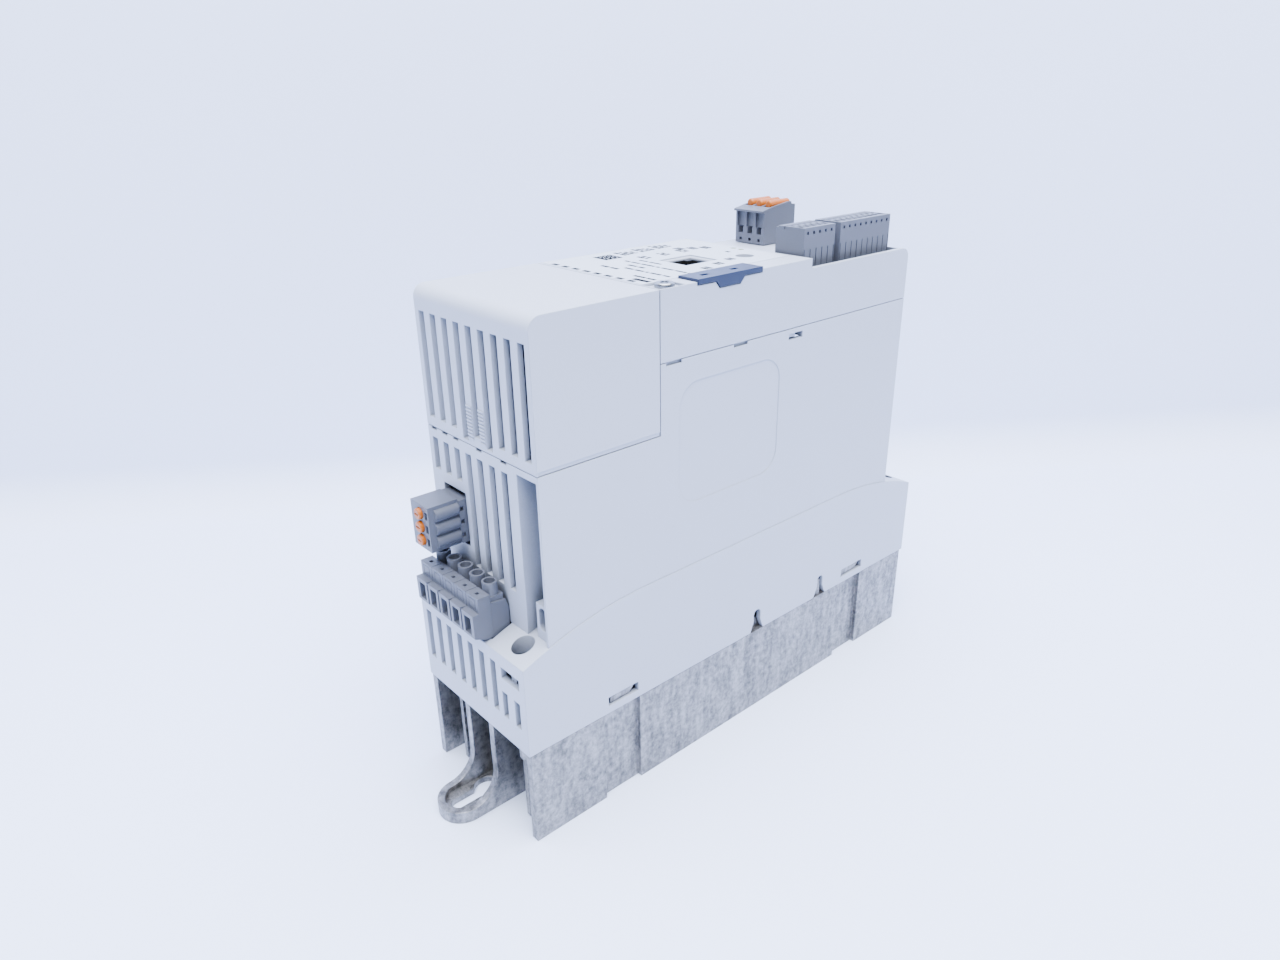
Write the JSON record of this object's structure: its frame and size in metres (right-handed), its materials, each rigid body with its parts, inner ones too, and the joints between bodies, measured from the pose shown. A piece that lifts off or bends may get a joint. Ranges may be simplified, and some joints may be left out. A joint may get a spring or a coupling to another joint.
{
  "type": "servo drive",
  "caption": "Slim cabinet servo drive with finned heat sink, slotted vent hood, plug-in control unit, memory module, screw and spring terminals.",
  "frame": {"origin": "middle of the rear mounting plane, centred between the two lug tips and between the side walls", "axes": "+Z out of the front face, away from the mounting plane; -X towards the mains end, which is up when the drive hangs on a wall; -Y towards the side with the memory module"},
  "size_m": [0.2595, 0.067, 0.2033],
  "materials": {
    "housing_plastic": "fine satin, light cool grey moulded plastic",
    "panel_film": "matt printed film, near white",
    "connector_plastic": "satin mid grey polyamide",
    "orange_plastic": "satin orange",
    "blue_plastic": "semi-gloss deep blue",
    "black_plastic": "matt black",
    "cast_aluminium": "as-cast, lightly tumbled",
    "zinc_steel": "bright zinc plated",
    "tinned_copper": "tinned",
    "circuit_board": "green solder mask",
    "capacitor_sleeve": "dark sleeve over an aluminium can",
    "ferrite": "ferrite core, lacquered",
    "led_lens": "tinted clear lens"
  },
  "bodies": {
    "power_unit": {"heat_sink": "cast_aluminium", "base_housing": "housing_plastic", "main_housing": "housing_plastic", "power_board": "circuit_board", "board_screws": "zinc_steel", "power_module": "black_plastic", "link_capacitors": "capacitor_sleeve", "emc_choke": "ferrite", "riser_board": "circuit_board", "link_connector": "black_plastic", "aux_header": "black_plastic", "mains_terminal": "connector_plastic", "mains_contacts": "tinned_copper", "motor_terminal": "connector_plastic", "motor_contacts": "tinned_copper"},
    "hood": {"vent_hood": "housing_plastic"},
    "control_unit": {"control_housing": "housing_plastic", "front_panel": "panel_film", "control_board": "circuit_board", "rj45_jack": "black_plastic", "status_leds": "led_lens", "relay_header": "black_plastic", "io_header_5": "black_plastic", "io_header_9": "black_plastic"},
    "memory_module": {"memory_module": "blue_plastic"},
    "relay_plug": {"relay_plug": "connector_plastic"},
    "io_plug_5": {"io_plug_5": "connector_plastic"},
    "io_plug_9": {"io_plug_9": "connector_plastic"},
    "aux_plug": {"aux_plug": "connector_plastic"},
    "housing_screw": {"housing_screw": "zinc_steel"},
    "pe_screw_near": {"pe_screw_near": "zinc_steel"},
    "pe_screw_far": {"pe_screw_far": "zinc_steel"},
    "relay_lever_1": {"relay_lever_1": "orange_plastic"},
    "aux_button_1": {"aux_button_1": "orange_plastic"},
    "relay_lever_2": {"relay_lever_2": "orange_plastic"},
    "aux_button_2": {"aux_button_2": "orange_plastic"},
    "relay_lever_3": {"relay_lever_3": "orange_plastic"},
    "aux_button_3": {"aux_button_3": "orange_plastic"},
    "mains_screw_1": {"mains_screw_1": "zinc_steel"},
    "mains_cage_1": {"mains_cage_1": "zinc_steel"},
    "mains_screw_2": {"mains_screw_2": "zinc_steel"},
    "mains_cage_2": {"mains_cage_2": "zinc_steel"},
    "mains_screw_3": {"mains_screw_3": "zinc_steel"},
    "mains_cage_3": {"mains_cage_3": "zinc_steel"},
    "mains_screw_4": {"mains_screw_4": "zinc_steel"},
    "mains_cage_4": {"mains_cage_4": "zinc_steel"},
    "mains_screw_5": {"mains_screw_5": "zinc_steel"},
    "mains_cage_5": {"mains_cage_5": "zinc_steel"},
    "motor_screw_1": {"motor_screw_1": "zinc_steel"},
    "motor_cage_1": {"motor_cage_1": "zinc_steel"},
    "motor_screw_2": {"motor_screw_2": "zinc_steel"},
    "motor_cage_2": {"motor_cage_2": "zinc_steel"},
    "motor_screw_3": {"motor_screw_3": "zinc_steel"},
    "motor_cage_3": {"motor_cage_3": "zinc_steel"},
    "motor_screw_4": {"motor_screw_4": "zinc_steel"},
    "motor_cage_4": {"motor_cage_4": "zinc_steel"}
  },
  "joints": [
    {"name": "hood_lift", "type": "slide", "parent": "power_unit", "child": "hood", "axis": [0, 0, 1], "range_m": [0, 0.02]},
    {"name": "control_unit_lift", "type": "slide", "parent": "power_unit", "child": "control_unit", "axis": [0, 0, 1], "range_m": [0, 0.02]},
    {"name": "memory_module_pull", "type": "slide", "parent": "control_unit", "child": "memory_module", "axis": [0, 0, 1], "range_m": [0, 0.014]},
    {"name": "relay_plug_pull", "type": "slide", "parent": "control_unit", "child": "relay_plug", "axis": [0, 0, 1], "range_m": [0, 0.012]},
    {"name": "io_plug_5_pull", "type": "slide", "parent": "control_unit", "child": "io_plug_5", "axis": [0, 0, 1], "range_m": [0, 0.012]},
    {"name": "io_plug_9_pull", "type": "slide", "parent": "control_unit", "child": "io_plug_9", "axis": [0, 0, 1], "range_m": [0, 0.012]},
    {"name": "aux_plug_pull", "type": "slide", "parent": "power_unit", "child": "aux_plug", "axis": [-1, 0, 0], "range_m": [0, 0.012]},
    {"name": "relay_lever_1_press", "type": "slide", "parent": "relay_plug", "child": "relay_lever_1", "axis": [0, 0, -1], "range_m": [0, 0.0015], "stiffness_N_per_m": 600, "springref_m": -0.001},
    {"name": "aux_button_1_press", "type": "slide", "parent": "aux_plug", "child": "aux_button_1", "axis": [1, 0, 0], "range_m": [0, 0.0015], "stiffness_N_per_m": 600, "springref_m": -0.001},
    {"name": "relay_lever_2_press", "type": "slide", "parent": "relay_plug", "child": "relay_lever_2", "axis": [0, 0, -1], "range_m": [0, 0.0015], "stiffness_N_per_m": 600, "springref_m": -0.001},
    {"name": "aux_button_2_press", "type": "slide", "parent": "aux_plug", "child": "aux_button_2", "axis": [1, 0, 0], "range_m": [0, 0.0015], "stiffness_N_per_m": 600, "springref_m": -0.001},
    {"name": "relay_lever_3_press", "type": "slide", "parent": "relay_plug", "child": "relay_lever_3", "axis": [0, 0, -1], "range_m": [0, 0.0015], "stiffness_N_per_m": 600, "springref_m": -0.001},
    {"name": "aux_button_3_press", "type": "slide", "parent": "aux_plug", "child": "aux_button_3", "axis": [1, 0, 0], "range_m": [0, 0.0015], "stiffness_N_per_m": 600, "springref_m": -0.001},
    {"name": "housing_screw_turn", "type": "hinge", "parent": "control_unit", "child": "housing_screw", "pos_m": [-0.04165, -0.0278, 0.188], "axis": [0, 0, 1], "continuous": true},
    {"name": "pe_screw_near_turn", "type": "hinge", "parent": "power_unit", "child": "pe_screw_near", "pos_m": [-0.10375, -0.0239, 0.058], "axis": [0, 0, 1], "continuous": true},
    {"name": "pe_screw_far_turn", "type": "hinge", "parent": "power_unit", "child": "pe_screw_far", "pos_m": [0.10375, -0.0239, 0.058], "axis": [0, 0, 1], "continuous": true},
    {"name": "mains_screw_1_turn", "type": "hinge", "parent": "power_unit", "child": "mains_screw_1", "pos_m": [-0.10495, -0.00769, 0.09], "axis": [0, 0, -1], "range_deg": [0, 1440]},
    {"name": "mains_cage_1_rise", "type": "slide", "parent": "power_unit", "child": "mains_cage_1", "axis": [0, 0, 1], "range_m": [0, 0.002]},
    {"name": "mains_screw_2_turn", "type": "hinge", "parent": "power_unit", "child": "mains_screw_2", "pos_m": [-0.10495, -0.00007, 0.09], "axis": [0, 0, -1], "range_deg": [0, 1440]},
    {"name": "mains_cage_2_rise", "type": "slide", "parent": "power_unit", "child": "mains_cage_2", "axis": [0, 0, 1], "range_m": [0, 0.002]},
    {"name": "mains_screw_3_turn", "type": "hinge", "parent": "power_unit", "child": "mains_screw_3", "pos_m": [-0.10495, 0.00755, 0.09], "axis": [0, 0, -1], "range_deg": [0, 1440]},
    {"name": "mains_cage_3_rise", "type": "slide", "parent": "power_unit", "child": "mains_cage_3", "axis": [0, 0, 1], "range_m": [0, 0.002]},
    {"name": "mains_screw_4_turn", "type": "hinge", "parent": "power_unit", "child": "mains_screw_4", "pos_m": [-0.10495, 0.01517, 0.09], "axis": [0, 0, -1], "range_deg": [0, 1440]},
    {"name": "mains_cage_4_rise", "type": "slide", "parent": "power_unit", "child": "mains_cage_4", "axis": [0, 0, 1], "range_m": [0, 0.002]},
    {"name": "mains_screw_5_turn", "type": "hinge", "parent": "power_unit", "child": "mains_screw_5", "pos_m": [-0.10495, 0.02279, 0.09], "axis": [0, 0, -1], "range_deg": [0, 1440]},
    {"name": "mains_cage_5_rise", "type": "slide", "parent": "power_unit", "child": "mains_cage_5", "axis": [0, 0, 1], "range_m": [0, 0.002]},
    {"name": "motor_screw_1_turn", "type": "hinge", "parent": "power_unit", "child": "motor_screw_1", "pos_m": [0.10495, -0.00388, 0.09], "axis": [0, 0, -1], "range_deg": [0, 1440]},
    {"name": "motor_cage_1_rise", "type": "slide", "parent": "power_unit", "child": "motor_cage_1", "axis": [0, 0, 1], "range_m": [0, 0.002]},
    {"name": "motor_screw_2_turn", "type": "hinge", "parent": "power_unit", "child": "motor_screw_2", "pos_m": [0.10495, 0.00374, 0.09], "axis": [0, 0, -1], "range_deg": [0, 1440]},
    {"name": "motor_cage_2_rise", "type": "slide", "parent": "power_unit", "child": "motor_cage_2", "axis": [0, 0, 1], "range_m": [0, 0.002]},
    {"name": "motor_screw_3_turn", "type": "hinge", "parent": "power_unit", "child": "motor_screw_3", "pos_m": [0.10495, 0.01136, 0.09], "axis": [0, 0, -1], "range_deg": [0, 1440]},
    {"name": "motor_cage_3_rise", "type": "slide", "parent": "power_unit", "child": "motor_cage_3", "axis": [0, 0, 1], "range_m": [0, 0.002]},
    {"name": "motor_screw_4_turn", "type": "hinge", "parent": "power_unit", "child": "motor_screw_4", "pos_m": [0.10495, 0.01898, 0.09], "axis": [0, 0, -1], "range_deg": [0, 1440]},
    {"name": "motor_cage_4_rise", "type": "slide", "parent": "power_unit", "child": "motor_cage_4", "axis": [0, 0, 1], "range_m": [0, 0.002]}
  ],
  "couplings": [
    {"joint": "mains_screw_1_turn", "follows": "mains_cage_1_rise", "rad_per_m": 12566},
    {"joint": "mains_screw_2_turn", "follows": "mains_cage_2_rise", "rad_per_m": 12566},
    {"joint": "mains_screw_3_turn", "follows": "mains_cage_3_rise", "rad_per_m": 12566},
    {"joint": "mains_screw_4_turn", "follows": "mains_cage_4_rise", "rad_per_m": 12566},
    {"joint": "mains_screw_5_turn", "follows": "mains_cage_5_rise", "rad_per_m": 12566},
    {"joint": "motor_screw_1_turn", "follows": "motor_cage_1_rise", "rad_per_m": 12566},
    {"joint": "motor_screw_2_turn", "follows": "motor_cage_2_rise", "rad_per_m": 12566},
    {"joint": "motor_screw_3_turn", "follows": "motor_cage_3_rise", "rad_per_m": 12566},
    {"joint": "motor_screw_4_turn", "follows": "motor_cage_4_rise", "rad_per_m": 12566}
  ]
}
